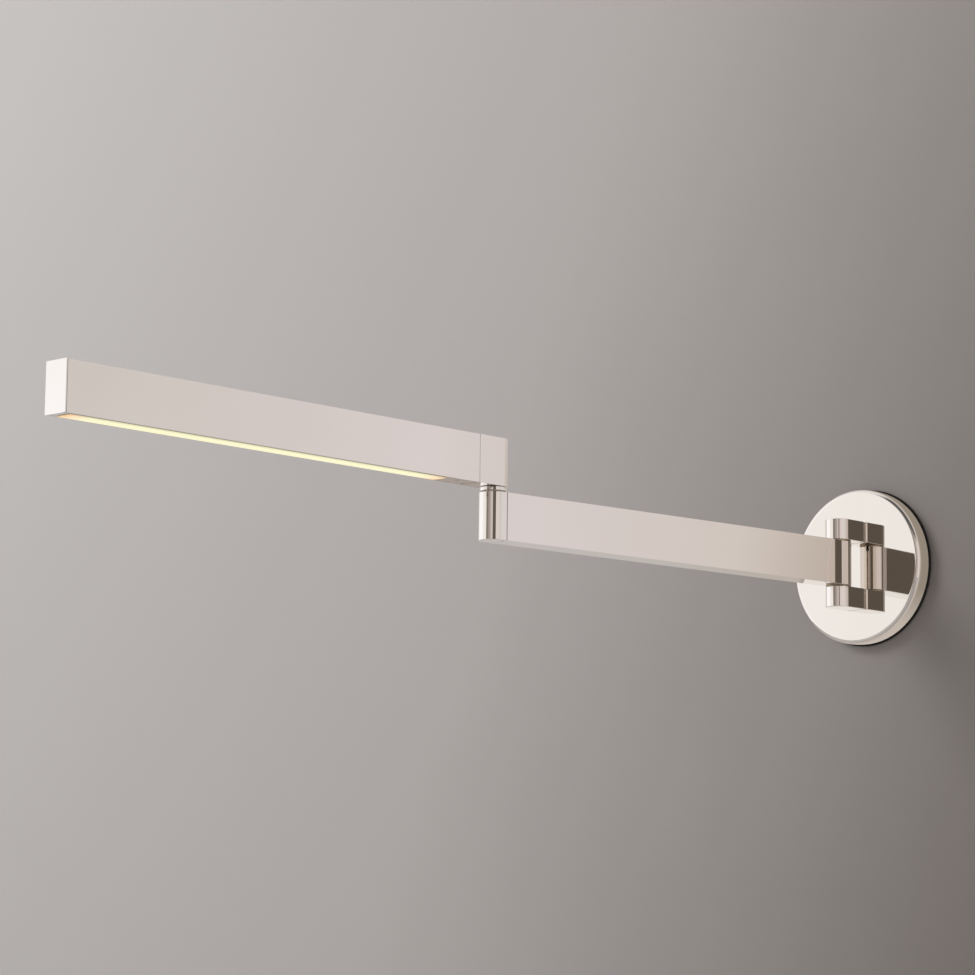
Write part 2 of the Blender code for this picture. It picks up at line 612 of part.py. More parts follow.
def make_arm(wall_frame):
    frame = make_frame("arm_frame", (0, HINGE_Y, 0), -ARM_YAW, wall_frame)
    make_wall_knuckle(frame)
    make_elbow_knuckle(frame)
    make_arm_tube(frame)
    lead("arm_cable", [(0, -6.4 * MM, 0), (0, -18 * MM, 0), (0, -30 * MM, -0.8 * MM),
                       (0, -60 * MM, -6 * MM), (0, -110 * MM, -11 * MM), (0, -170 * MM, -13 * MM),
                       (0, -240 * MM, -13.5 * MM), (0, -310 * MM, -13.5 * MM),
                       (0, -350 * MM, -13.5 * MM), (0, -366.4 * MM, -13.5 * MM)], frame)
    return frame


# ---------------------------------------------------------------- elbow and bar light

def make_elbow(frame):
    """The stem that hangs from the end block, and the stack that it clamps on the arm."""
    washer = HALF_HEIGHT + GAP
    ring("elbow_washer", PIN_RADIUS + GAP, THIN_WASHER_RADIUS, washer, washer + THIN_WASHER,
         PALE_NYLON, frame)
    collar = washer + THIN_WASHER + GAP
    ring("elbow_collar", PIN_RADIUS + GAP, COLLAR_RADIUS, collar, collar + COLLAR_HEIGHT, NICKEL, frame)
    ring("elbow_stem", PIN_BORE, PIN_RADIUS, STEM_BOTTOM, STEM_TOP, STEEL, frame, steps=SMALL_STEPS)
    top = CHAMBER_TOP - GAP
    spring = [(6.8 * MM, top - 0.7 * MM), (6.8 * MM, top - 1.3 * MM),
              (PIN_RADIUS + GAP, top - 0.6 * MM), (PIN_RADIUS + GAP, top)]
    turned("spring_washer", spring, STEEL, frame, steps=SMALL_STEPS, closed=True)
    nut_top = top - 1.3 * MM - GAP
    nut = rod("elbow_nut", 7.0 * MM, nut_top - 4 * MM, nut_top, "Z", (0, 0, 0), STEEL, frame, 6)
    drill(nut, "bore", PIN_RADIUS + GAP, nut_top - 6 * MM, nut_top + 2 * MM, "Z", (0, 0, 0), frame)


def make_end_block(frame):
    block = prism("end_block", [half_round(HALF_WIDTH, BLOCK_STRAIGHT, 1)], BAR_HEIGHT, NICKEL,
                  frame, (0, 0, HEAD_Z))
    seam = -BLOCK_STRAIGHT
    soften(block, BAR_EDGE, lambda a, b: abs(a.z - b.z) < 1e-6
           and not (abs(a.y - seam) < 1e-6 and abs(b.y - seam) < 1e-6))
    half = HOUSING_INSIDE - GAP
    add_box(block, "spigot", (-half, -45 * MM, HEAD_Z + FLANGE_TOP + GAP),
            (half, -22 * MM, HEAD_Z + BAR_HEIGHT - HOUSING_WALL - GAP), frame)
    drill(block, "stem", PIN_RADIUS + GAP, HEAD_Z - MM, 42 * MM, "Z", (0, 0, 0), frame)
    drill(block, "lead", LEAD_BORE, 0.0, -50 * MM, "Y", (0, 0, 39.5 * MM), frame)
    side_hole(block, "stem_screw", 0, STEM_SCREW_Z, frame)
    side_hole(block, "housing_screw", HOUSING_SCREW_Y, HEAD_SCREW_Z, frame)
    for label, x, y in COVER_SCREWS:
        drill(block, label, SMALL_SCREW + GAP, HEAD_Z, HEAD_Z + 9 * MM, "Z", (x, y, 0), frame)
    side_screw("stem_screw", 0, STEM_SCREW_Z, frame, end=-PIN_RADIUS - GAP)
    side_screw("housing_screw", HOUSING_SCREW_Y, HEAD_SCREW_Z, frame)


def make_housing(frame):
    """A channel with a closed top, and lips under it that hold the lens and the cover."""
    wall = HOUSING_WALL
    outline = [(SLOT_HALF, 0.0)]
    outline += arc((HALF_WIDTH - BAR_EDGE, BAR_EDGE), BAR_EDGE, -90.0, 0.0, 3)
    outline += arc((HALF_WIDTH - BAR_EDGE, BAR_HEIGHT - BAR_EDGE), BAR_EDGE, 0.0, 90.0, 3)
    outline += arc((-HALF_WIDTH + BAR_EDGE, BAR_HEIGHT - BAR_EDGE), BAR_EDGE, 90.0, 180.0, 3)
    outline += arc((-HALF_WIDTH + BAR_EDGE, BAR_EDGE), BAR_EDGE, 180.0, 270.0, 3)
    outline += [(-SLOT_HALF, 0.0), (-SLOT_HALF, wall), (-HOUSING_INSIDE, wall),
                (-HOUSING_INSIDE, BAR_HEIGHT - wall), (HOUSING_INSIDE, BAR_HEIGHT - wall),
                (HOUSING_INSIDE, wall), (SLOT_HALF, wall)]
    start = BLOCK_STRAIGHT + GAP
    length = HEAD_LENGTH - CAP_THICKNESS - GAP - start
    housing = prism("led_housing", [outline], length, NICKEL, frame, (0, -start, HEAD_Z),
                    AXIS_TURN["Y"])
    holes = [("housing_screw", HOUSING_SCREW_Y, HEAD_SCREW_Z), ("cap_screw", CAP_SCREW_Y, HEAD_SCREW_Z)]
    holes += [("carrier_" + label, y, CARRIER_MIDDLE) for label, y in CARRIER_SCREWS]
    for label, y, z in holes:
        side_hole(housing, label, y, z, frame)


def make_end_cap(frame):
    face = -HEAD_LENGTH
    inside = face + CAP_THICKNESS
    outline = rounded_rectangle(HALF_WIDTH, 0.0, BAR_HEIGHT, BAR_EDGE)
    cap = prism("end_cap", [outline], CAP_THICKNESS, NICKEL, frame, (0, inside, HEAD_Z),
                AXIS_TURN["Y"])
    half = HOUSING_INSIDE - GAP
    add_box(cap, "plug", (-half, inside - MM, HEAD_Z + FLANGE_TOP + GAP),
            (half, inside + 9 * MM, HEAD_Z + BAR_HEIGHT - HOUSING_WALL - GAP), frame)
    add_box(cap, "tongue", (-SLOT_HALF + GAP, inside - MM, HEAD_Z),
            (SLOT_HALF - GAP, -LENS_END - GAP, HEAD_Z + HOUSING_WALL), frame)
    side_hole(cap, "screw", CAP_SCREW_Y, HEAD_SCREW_Z, frame)
    side_screw("cap_screw", CAP_SCREW_Y, HEAD_SCREW_Z, frame)


def lens_section():
    """A T section: a crowned stem in the housing's slot, and a flange that rests on its lips."""
    half = SLOT_HALF - GAP
    flange = HOUSING_INSIDE - 2 * GAP
    shoulder = HOUSING_WALL + GAP
    bottom = []
    for i in range(CROWN_STEPS + 1):
        x = -half + 2 * half * i / CROWN_STEPS
        bottom.append((x, -LENS_PROUD * (1.0 - 0.35 * (x / half) ** 2)))
    return bottom + [(half, shoulder), (flange, shoulder), (flange, FLANGE_TOP),
                     (-flange, FLANGE_TOP), (-flange, shoulder), (-half, shoulder)]


def make_underside(frame):
    prism("diffuser", [lens_section()], LENS_END - LENS_START, LENS, frame,
          (0, -LENS_START, HEAD_Z), AXIS_TURN["Y"])
    start, end = -BLOCK_STRAIGHT - 2 * GAP, -LENS_START + GAP
    half, flange = SLOT_HALF - GAP, HOUSING_INSIDE - 2 * GAP
    cover = box("underside_cover", (-half, end, HEAD_Z), (half, start, HEAD_Z + FLANGE_TOP), NICKEL,
                frame)
    add_box(cover, "flange", (-flange, end, HEAD_Z + HOUSING_WALL + GAP),
            (flange, start, HEAD_Z + FLANGE_TOP), frame)
    for label, x, y in COVER_SCREWS:
        drill(cover, label, SMALL_SCREW + GAP, HEAD_Z - MM, HEAD_Z + 6 * MM, "Z", (x, y, 0), frame)
        rod(label, SMALL_SCREW, HEAD_Z + 0.1 * MM, HEAD_Z + 8 * MM, "Z", (x, y, 0), STEEL, frame, 16)


def make_light_source(frame):
    half = HOUSING_INSIDE - 2 * GAP
    carrier = box("light_carrier", (-half, -CARRIER_END, HEAD_Z + CARRIER_BOTTOM),
                  (half, -CARRIER_START, HEAD_Z + CARRIER_TOP), ALUMINIUM, frame)
    for label, y in CARRIER_SCREWS:
        side_hole(carrier, "screw_" + label, y, CARRIER_MIDDLE, frame)
        side_screw("carrier_screw_" + label, y, CARRIER_MIDDLE, frame)
    board_top = HEAD_Z + CARRIER_BOTTOM - GAP
    box("led_board", (-BOARD_HALF, -CARRIER_END, board_top - BOARD_THICKNESS),
        (BOARD_HALF, -CARRIER_START, board_top), BOARD, frame)
    strip_top = board_top - BOARD_THICKNESS - GAP
    box("led_strip", (-STRIP_HALF, -CARRIER_END, strip_top - STRIP_THICKNESS),
        (STRIP_HALF, -CARRIER_START - 4 * MM, strip_top), PHOSPHOR, frame)


def make_head(arm_frame):
    frame = make_frame("head_frame", (0, -ARM_LENGTH, 0), ARM_YAW, arm_frame)
    make_elbow(frame)
    make_end_block(frame)
    make_housing(frame)
    make_end_cap(frame)
    make_underside(frame)
    make_light_source(frame)
    board_z = HEAD_Z + CARRIER_BOTTOM - GAP - BOARD_THICKNESS / 2
    lead("head_cable", [(0, 0, STEM_BOTTOM + MM), (0, 0, 8 * MM), (0, 0, 24 * MM), (0, 0, 33 * MM),
                        (0, -0.8 * MM, 37.6 * MM), (0, -4.5 * MM, 39.4 * MM),
                        (0, -12 * MM, 39.5 * MM), (0, -30 * MM, 39.5 * MM), (0, -46 * MM, 39.2 * MM),
                        (0, -54 * MM, board_z + 1.2 * MM),
                        (0, -CARRIER_START + GAP, board_z)], frame)


make_head(make_arm(make_wall_side()))
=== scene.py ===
"""Looks of the swing arm wall sconce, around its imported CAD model.

Metres, in the row's frame: the wall is Y = 0, the lamp stands out along -Y, and +Z is up.
"""
import json
import math

import bmesh
import bpy
from mathutils import Matrix, Vector


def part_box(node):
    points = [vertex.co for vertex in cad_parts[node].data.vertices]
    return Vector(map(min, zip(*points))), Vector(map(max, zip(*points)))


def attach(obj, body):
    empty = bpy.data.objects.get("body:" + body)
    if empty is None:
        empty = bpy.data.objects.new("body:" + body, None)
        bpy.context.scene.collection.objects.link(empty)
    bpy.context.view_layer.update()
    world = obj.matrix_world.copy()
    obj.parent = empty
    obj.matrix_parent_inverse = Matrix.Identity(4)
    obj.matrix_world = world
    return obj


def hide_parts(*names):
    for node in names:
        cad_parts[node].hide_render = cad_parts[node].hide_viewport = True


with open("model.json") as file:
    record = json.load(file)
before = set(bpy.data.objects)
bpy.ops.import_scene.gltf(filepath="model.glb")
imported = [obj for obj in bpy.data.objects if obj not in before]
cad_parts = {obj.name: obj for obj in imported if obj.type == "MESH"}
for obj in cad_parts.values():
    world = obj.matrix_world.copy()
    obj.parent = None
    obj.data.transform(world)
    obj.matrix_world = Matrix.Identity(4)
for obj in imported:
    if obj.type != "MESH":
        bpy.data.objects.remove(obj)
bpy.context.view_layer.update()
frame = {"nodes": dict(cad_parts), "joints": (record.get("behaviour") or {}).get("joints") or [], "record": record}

MM = 0.001

# ---------------------------------------------------------------- places read from the frame

JOINTS = {joint["name"]: joint for joint in frame["joints"]}
SLOTS = {part["node"]: part["material_slot"] for part in frame["record"]["subparts"]}
HINGE = Vector(JOINTS["arm_swing"]["pos_m"])
ELBOW = Vector(JOINTS["head_swing"]["pos_m"])
ARM_YAW = math.atan2(ELBOW.x - HINGE.x, HINGE.y - ELBOW.y)
ARM_LENGTH = (ELBOW - HINGE).length

PLATE_LOW, PLATE_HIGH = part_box("backplate")
EAR_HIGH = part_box("ear_upper")[1]
HEAD_LOW, HEAD_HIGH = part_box("led_housing")
TUBE_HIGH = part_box("arm_tube")[1]
LENS_LOW, LENS_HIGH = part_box("diffuser")
COVER_LOW, COVER_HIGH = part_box("elbow_cover")

PLATE_RADIUS = PLATE_HIGH.x
PLATE_FRONT = PLATE_LOW.y
BAR_RADIUS = EAR_HIGH.x                       # half the width of ears, arm and bar light
ARM_TOP = TUBE_HIGH.z
COVER_RADIUS = (COVER_HIGH.x - COVER_LOW.x) / 2
WALL_SEAM = 6.8 * MM                          # hinge axis to the seam with the tube
ELBOW_SEAM = 5.0 * MM                         # elbow axis to the seam with the tube
SEAM_GAP = 0.3 * MM
WAIST_LENGTH = 9.0 * MM                       # the tube narrows over this, towards the wall seam
WAIST_DEPTH = 0.4 * MM
WAIST_CURVE = ((1.0, 1.0), (0.75, 0.72), (0.5, 0.45), (0.25, 0.2), (0.1, 0.06), (0.0, 0.0))
TUBE_WALL = 2.0 * MM
BLOCK_SEAM = ELBOW.y - HEAD_HIGH.y - 0.3 * MM  # elbow axis to the seam with the housing
PLATE_EDGE = 3.5 * MM
PLATE_FACE = 3.0 * MM
PLATE_RIM = 2.5 * MM
PIN_HOLE = 4.3 * MM
WASHER_LIP = 0.5 * MM                         # the elbow's pale washer stands out past the CAD one
SCREW_HOLE = 2.3 * MM
KNUCKLE_SCREW_Y = 16.0 * MM                   # from a joint's axis, along the arm
KNUCKLE_SCREW_Z = 9.0 * MM

PAST = 1.0 * MM                               # how far a drill starts outside the metal
EAR_PIN_DEPTH = 14.5 * MM
DRILL_REACH = 30.0 * MM                       # past both ends of a knuckle
CHAMBER_TOP = -4.0 * MM                       # of the room for the nut in the elbow's knuckle
BLOCK_CEILING = 16.0 * MM                     # solid metal over the stem's hole
SIDE_DRILL_START = -12.0 * MM                 # screw holes come in from the -X side
TUBE_DRILL_END = -6.0 * MM
BLOCK_DRILL_END = -2.0 * MM

EDGE = 0.5 * MM                               # small radius on the polished edges
PLATE_BACK_EDGE = 0.3 * MM
TUBE_INNER_CORNER = 0.3 * MM
COLLAR_EDGE = 0.12 * MM
WASHER_EDGE = 0.05 * MM
EAR_BACK_EDGE = 2.5 * MM                      # the ears' upright edges beside the plate
SHARP_ANGLE = math.radians(40)
NOSE_STEPS = 96
CORNER_STEPS = 6
PLATE_EDGE_STEPS = 8


# ---------------------------------------------------------------- node helpers

def new_material(name):
    material = bpy.data.materials.new(name)
    material.use_nodes = True
    tree = material.node_tree
    return material, tree, tree.nodes["Principled BSDF"]


def add(tree, kind, **inputs):
    """A node with values set on its inputs by name, with _ for a space."""
    node = tree.nodes.new(kind)
    for key, value in inputs.items():
        node.inputs[key.replace("_", " ")].default_value = value
    return node


def object_coords(tree, scale=(1, 1, 1)):
    coords = tree.nodes.new("ShaderNodeTexCoord")
    mapping = add(tree, "ShaderNodeMapping", Scale=scale)
    tree.links.new(coords.outputs["Object"], mapping.inputs["Vector"])
    return mapping.outputs["Vector"]


def noise(tree, vector, scale, detail=3.0, roughness=0.5):
    node = add(tree, "ShaderNodeTexNoise", Scale=scale, Detail=detail, Roughness=roughness)
    tree.links.new(vector, node.inputs["Vector"])
    return node.outputs["Fac"]


def spread(tree, value, low, high, from_low=0.3, from_high=0.7):
    """Maps a texture's middle range onto low..high."""
    node = tree.nodes.new("ShaderNodeMapRange")
    node.inputs["From Min"].default_value = from_low
    node.inputs["From Max"].default_value = from_high
    node.inputs["To Min"].default_value = low
    node.inputs["To Max"].default_value = high
    tree.links.new(value, node.inputs["Value"])
    return node.outputs["Result"]


def ramp(tree, value, stops):
    node = tree.nodes.new("ShaderNodeValToRGB")
    elements = node.color_ramp.elements
    while len(elements) < len(stops):
        elements.new(0.5)
    for element, (place, colour) in zip(elements, stops):
        element.position = place
        element.color = (*colour, 1.0)
    tree.links.new(value, node.inputs["Fac"])
    return node.outputs["Color"]


def bump(tree, height, strength, distance):
    node = add(tree, "ShaderNodeBump", Strength=strength, Distance=distance)
    tree.links.new(height, node.inputs["Height"])
    return node.outputs["Normal"]


def mix_colours(tree, factor, first, second, blend="MIX"):
    node = tree.nodes.new("ShaderNodeMix")
    node.data_type = "RGBA"
    node.blend_type = blend
    for name, value in (("Factor", factor), ("A", first), ("B", second)):
        socket = next(item for item in node.inputs
                      if item.name == name and item.type in ("VALUE" if name == "Factor" else "RGBA"))
        if isinstance(value, (int, float, tuple)):
            socket.default_value = value
        else:
            tree.links.new(value, socket)
    return next(item for item in node.outputs if item.type == "RGBA")


def math_node(tree, operation, first, second=None):
    node = tree.nodes.new("ShaderNodeMath")
    node.operation = operation
    for socket, value in zip(node.inputs, (first, second)):
        if isinstance(value, (int, float)):
            socket.default_value = value
        elif value is not None:
            tree.links.new(value, socket)
    return node.outputs["Value"]


# ---------------------------------------------------------------- materials

def surface(name, tones, roughness, metallic=0.0, grain=900.0, stretch=(1, 1, 1), relief=0.0):
    """A finish whose colour and roughness drift between two tones and two values."""
    material, tree, shader = new_material(name)
    shader.inputs["Metallic"].default_value = metallic
    vector = object_coords(tree, stretch)
    cloud = noise(tree, vector, grain / 12, 4.0)
    fine = noise(tree, vector, grain, 3.0)
    tree.links.new(ramp(tree, cloud, [(0.3, tones[0]), (0.7, tones[1])]), shader.inputs["Base Color"])
    tree.links.new(spread(tree, fine, *roughness), shader.inputs["Roughness"])
    if relief:
        tree.links.new(bump(tree, fine, 0.4, relief), shader.inputs["Normal"])
    return material


def polished_nickel():
    """Warm mirror plate with a trace of polishing haze and very slight waviness."""
    material, tree, shader = new_material("polished_nickel")
    shader.inputs["Metallic"].default_value = 1.0
    vector = object_coords(tree)
    cloud = noise(tree, vector, 14.0, 3.0)
    tones = [(0.3, (0.835, 0.79, 0.75)), (0.7, (0.85, 0.81, 0.77))]
    tree.links.new(ramp(tree, cloud, tones), shader.inputs["Base Color"])
    haze = noise(tree, object_coords(tree, (1, 1, 0.15)), 700.0, 4.0, 0.65)
    tree.links.new(spread(tree, haze, 0.02, 0.055), shader.inputs["Roughness"])
    wave = noise(tree, vector, 55.0, 1.0)
    tree.links.new(bump(tree, wave, 0.15, 0.02 * MM), shader.inputs["Normal"])
    return material


def lens():
    """Frosted strip that glows warm white, more orange at its ends and dimmer at its sides."""
    material, tree, shader = new_material("lens")
    shader.inputs["Base Color"].default_value = (0.25, 0.23, 0.18, 1.0)
    vector = object_coords(tree)
    grain = noise(tree, vector, 1500.0, 2.0)
    tree.links.new(spread(tree, grain, 0.35, 0.5), shader.inputs["Roughness"])
    tree.links.new(bump(tree, grain, 0.2, 0.05 * MM), shader.inputs["Normal"])
    split = tree.nodes.new("ShaderNodeSeparateXYZ")
    tree.links.new(vector, split.inputs["Vector"])
    along = spread(tree, split.outputs["Y"], 0.0, 1.0, LENS_LOW.y, LENS_HIGH.y)
    glow = ramp(tree, along, [(0.0, LENS_END_COLOUR), (0.02, LENS_NEAR_COLOUR), (0.055, LENS_COLOUR),
                              (0.945, LENS_COLOUR), (0.98, LENS_NEAR_COLOUR), (1.0, LENS_END_COLOUR)])
    tree.links.new(glow, shader.inputs["Emission Color"])
    middle = (LENS_LOW.x + LENS_HIGH.x) / 2
    across = math_node(tree, "ABSOLUTE", math_node(tree, "SUBTRACT", split.outputs["X"], middle))
    strength = spread(tree, across, LENS_STRENGTH, LENS_SIDE_STRENGTH, 0.5 * LENS_HALF, LENS_HALF)
    light_path = tree.nodes.new("ShaderNodeLightPath")
    mirrored = spread(tree, light_path.outputs["Is Glossy Ray"], 1.0, LENS_IN_MIRRORS, 0.0, 1.0)
    strength = math_node(tree, "MULTIPLY", strength, mirrored)
    tree.links.new(strength, shader.inputs["Emission Strength"])
    return material


LENS_COLOUR = (0.82, 0.79, 0.50)
LENS_NEAR_COLOUR = (0.84, 0.65, 0.42)
LENS_END_COLOUR = (0.80, 0.50, 0.24)
LENS_HALF = (LENS_HIGH.x - LENS_LOW.x) / 2
LENS_STRENGTH = 1.0
LENS_SIDE_STRENGTH = 0.7
LENS_IN_MIRRORS = 0.10                        # the lamp is dimmed where polished metal mirrors it


def phosphor():
    """The light line behind the lens: yellow resin with fine dots."""
    material, tree, shader = new_material("phosphor")
    dots = add(tree, "ShaderNodeTexVoronoi", Scale=600.0)
    tree.links.new(object_coords(tree), dots.inputs["Vector"])
    tone = ramp(tree, dots.outputs["Distance"], [(0.1, (0.95, 0.68, 0.12)), (0.6, (0.98, 0.82, 0.34))])
    tree.links.new(tone, shader.inputs["Base Color"])
    tree.links.new(spread(tree, dots.outputs["Distance"], 0.4, 0.6), shader.inputs["Roughness"])
    shader.inputs["Emission Color"].default_value = (1.0, 0.86, 0.55, 1.0)
    shader.inputs["Emission Strength"].default_value = 2.0
    return material


def make_materials():
    return {
        "polished_nickel": polished_nickel(),
        "zinc_steel": surface("zinc_steel", ((0.46, 0.47, 0.49), (0.60, 0.60, 0.60)), (0.22, 0.42),
                              metallic=1.0, relief=0.02 * MM),
        "green_screw": surface("green_screw", ((0.03, 0.24, 0.08), (0.06, 0.36, 0.13)), (0.25, 0.4),
                               metallic=0.5, relief=0.01 * MM),
        "bronze": surface("bronze", ((0.64, 0.51, 0.36), (0.80, 0.67, 0.50)), (0.35, 0.6),
                          metallic=1.0, grain=2500.0, relief=0.03 * MM),
        "nylon": surface("nylon", ((0.035, 0.035, 0.035), (0.06, 0.06, 0.06)), (0.4, 0.55),
                         grain=1800.0, relief=0.02 * MM),
        "pale_nylon": surface("pale_nylon", ((0.72, 0.69, 0.61), (0.80, 0.77, 0.70)), (0.35, 0.5),
                              grain=1800.0, relief=0.02 * MM),
        # near-black foam of the gasket behind the plate: its own colour, and also a dark ring put in as painted
        # shade for the contact shadow round the plate's edge
        "foam": surface("foam", ((0.010, 0.010, 0.010), (0.025, 0.024, 0.023)), (0.8, 0.95),
                        grain=2500.0, relief=0.15 * MM),
        "driver_case": surface("driver_case", ((0.76, 0.76, 0.74), (0.84, 0.84, 0.82)), (0.35, 0.5),
                               grain=1500.0, relief=0.03 * MM),
        "cable": surface("cable", ((0.02, 0.02, 0.022), (0.045, 0.045, 0.05)), (0.4, 0.6),
                         grain=1200.0, relief=0.03 * MM),
        "aluminium": surface("aluminium", ((0.62, 0.63, 0.65), (0.76, 0.77, 0.78)), (0.25, 0.45),
                             metallic=1.0, stretch=(1, 0.02, 1), relief=0.02 * MM),
        "led_board": surface("led_board", ((0.82, 0.82, 0.78), (0.90, 0.90, 0.87)), (0.3, 0.45),
                             grain=1500.0, relief=0.01 * MM),
        "phosphor": phosphor(),
        "lens": lens(),
    }


# ---------------------------------------------------------------- mesh helpers

def link(name, mesh):
    obj = bpy.data.objects.new(name, mesh)
    bpy.context.scene.collection.objects.link(obj)
    return obj


def place(origin, yaw=0.0):
    return Matrix.Translation(origin) @ Matrix.Rotation(yaw, 4, "Z")


def nose_outline(radius, straight, toward, end_radius=None, corner=0.0):
    """Plan of a bar's end: a half-round nose towards +Y (1) or -Y (-1), then its sides."""
    end_radius = end_radius or radius
    outline = []
    for i in range(NOSE_STEPS + 1):
        angle = math.pi * i / NOSE_STEPS
        outline.append((radius * math.cos(angle), toward * radius * math.sin(angle)))
    if not corner:
        return outline + [(-end_radius, -toward * straight), (end_radius, -toward * straight)]
    for side, first in ((-1, 180.0), (1, 270.0)):
        for i in range(CORNER_STEPS + 1):
            angle = math.radians(first + 90.0 * i / CORNER_STEPS)
            outline.append((side * (end_radius - corner) + corner * math.cos(angle),
                            toward * (-straight + corner + corner * math.sin(angle))))
    return outline


def rounded_rectangle(half_width, half_height, radius):
    outline = []
    for quarter, (side_x, side_z) in enumerate(((1, 1), (-1, 1), (-1, -1), (1, -1))):
        for i in range(CORNER_STEPS + 1):
            angle = math.radians(90.0 * (quarter + i / CORNER_STEPS))
            outline.append((side_x * (half_width - radius) + radius * math.cos(angle),
                            side_z * (half_height - radius) + radius * math.sin(angle)))
    return outline


def loft_tube(name, outer_rings, inner_rings):
    """A hollow tube from matching rings of points, with flat annular ends."""
    mesh = bpy.data.meshes.new(name)
    shape = bmesh.new()
    outer = [[shape.verts.new(point) for point in points] for points in outer_rings]
    inner = [[shape.verts.new(point) for point in points] for points in inner_rings]
    loops = [*zip(outer, outer[1:]), *zip(inner, inner[1:]), (outer[0], inner[0]), (outer[-1], inner[-1])]
    for first, second in loops:
        for i in range(len(first)):
            j = (i + 1) % len(first)
            shape.faces.new((first[i], first[j], second[j], second[i]))
    bmesh.ops.recalc_face_normals(shape, faces=shape.faces)
    shape.to_mesh(mesh)
    shape.free()
    return mesh


def extrude(name, outline, bottom, top):
    """A closed prism from a plan outline."""
    mesh = bpy.data.meshes.new(name)
    shape = bmesh.new()
    face = shape.faces.new([shape.verts.new((x, y, bottom)) for x, y in outline])
    result = bmesh.ops.extrude_face_region(shape, geom=[face])
    raised = [item for item in result["geom"] if isinstance(item, bmesh.types.BMVert)]
    bmesh.ops.translate(shape, verts=raised, vec=(0, 0, top - bottom))
    bmesh.ops.recalc_face_normals(shape, faces=shape.faces)
    shape.to_mesh(mesh)
    shape.free()
    return mesh


def lathe(name, profile, steps=192):
    """Turns a closed (radius, height) loop about local Z."""
    mesh = bpy.data.meshes.new(name)
    shape = bmesh.new()
    verts = [shape.verts.new((x, 0.0, z)) for x, z in profile]
    edges = [shape.edges.new((verts[i], verts[(i + 1) % len(verts)])) for i in range(len(verts))]
    bmesh.ops.spin(shape, geom=verts + edges, cent=(0, 0, 0), axis=(0, 0, 1), angle=2 * math.pi,
                   steps=steps, use_merge=True)
    bmesh.ops.remove_doubles(shape, verts=shape.verts, dist=1e-6)
    bmesh.ops.recalc_face_normals(shape, faces=shape.faces)
    shape.to_mesh(mesh)
    shape.free()
    return mesh


def cylinder_mesh(name, radius, length, steps=64):
    mesh = bpy.data.meshes.new(name)
    shape = bmesh.new()
    bmesh.ops.create_cone(shape, cap_ends=True, segments=steps, radius1=radius, radius2=radius,
                          depth=length)
    shape.to_mesh(mesh)
    shape.free()
    return mesh


TURN = {"X": Matrix.Rotation(math.pi / 2, 4, "Y"), "Y": Matrix.Rotation(math.pi / 2, 4, "X"),
        "Z": Matrix.Identity(4)}


def bore(obj, frame_at, radius, axis, centre, start, end):
    """Drills a round hole between start and end on one axis of the piece's own frame."""
    middle = Vector(centre)
    middle["XYZ".index(axis)] = (start + end) / 2
    drill = link(obj.name + "_drill", cylinder_mesh("drill", radius, abs(end - start)))
    drill.matrix_world = frame_at @ Matrix.Translation(middle) @ TURN[axis]
    cut = obj.modifiers.new("cut", "BOOLEAN")
    cut.operation = "DIFFERENCE"
    cut.solver = "EXACT"
    cut.object = drill
    bpy.context.view_layer.update()
    evaluated = obj.evaluated_get(bpy.context.evaluated_depsgraph_get())
    result = bpy.data.meshes.new_from_object(evaluated)
    obj.modifiers.clear()
    obj.data = result
    bpy.data.objects.remove(drill, do_unlink=True)


def round_edges(obj, width, segments=3):
    """Rounds the sharp edges, and keeps the flats flat and the round parts smooth."""
    obj.data.shade_smooth()
    bevel = obj.modifiers.new("edges", "BEVEL")
    bevel.width = width
    bevel.segments = segments
    bevel.limit_method = "ANGLE"
    bevel.angle_limit = SHARP_ANGLE
    keep_flats(obj)


def keep_flats(obj, keep_sharp=False):
    """Weights the normals by area, so that flats stay flat beside rounded edges."""
    weighted = obj.modifiers.new("flats", "WEIGHTED_NORMAL")
    weighted.mode = "FACE_AREA"
    weighted.weight = 100
    weighted.keep_sharp = keep_sharp


def finish_piece(obj, body, node, slot):
    """Puts a piece on its body, in the place of a CAD node, with its slot's material."""
    obj.data.materials.clear()
    obj.data.materials.append(MATERIALS[slot])
    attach(obj, body)
    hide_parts(node)


# ---------------------------------------------------------------- polished pieces

def plate():
    """The round wall plate: a shallow cup with a flat front and a rounded front edge."""
    depth = -PLATE_FRONT
    profile = [(0.0, depth)]
    for i in range(PLATE_EDGE_STEPS + 1):
        angle = math.pi / 2 * (1 - i / PLATE_EDGE_STEPS)
        profile.append((PLATE_RADIUS - PLATE_EDGE + PLATE_EDGE * math.cos(angle),
                        depth - PLATE_EDGE + PLATE_EDGE * math.sin(angle)))
    inner = PLATE_RADIUS - PLATE_RIM
    back = -PLATE_HIGH.y
    profile += [(PLATE_RADIUS, back + PLATE_BACK_EDGE), (PLATE_RADIUS - PLATE_BACK_EDGE, back),
                (inner, back),
                (inner, depth - PLATE_FACE), (0.0, depth - PLATE_FACE)]
    obj = link("plate", lathe("plate", profile))
    obj.data.transform(Matrix.Rotation(math.pi / 2, 4, "X"))
    obj.data.shade_smooth()
    obj.data.set_sharp_from_angle(angle=math.radians(50))
    keep_flats(obj, keep_sharp=True)
    finish_piece(obj, "wall_plate", "backplate", "polished_nickel")


def ear(label, side):
    """A block with a half-round nose, above or below the arm's knuckle."""
    low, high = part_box("ear_" + label)
    back = high.y - HINGE.y
    outline = nose_outline(BAR_RADIUS, back, -1, corner=EAR_BACK_EDGE)
    obj = link("hinge_ear_" + label, extrude("hinge_ear_" + label, outline, low.z, high.z))
    obj.data.transform(place((HINGE.x, HINGE.y, 0)))
    inside = low.z if side > 0 else high.z
    bore(obj, place((HINGE.x, HINGE.y, 0)), PIN_HOLE, "Z", (0, 0, 0), inside - side * PAST,
         inside + side * EAR_PIN_DEPTH)
    round_edges(obj, EDGE)
    finish_piece(obj, "wall_plate", "ear_" + label, "polished_nickel")


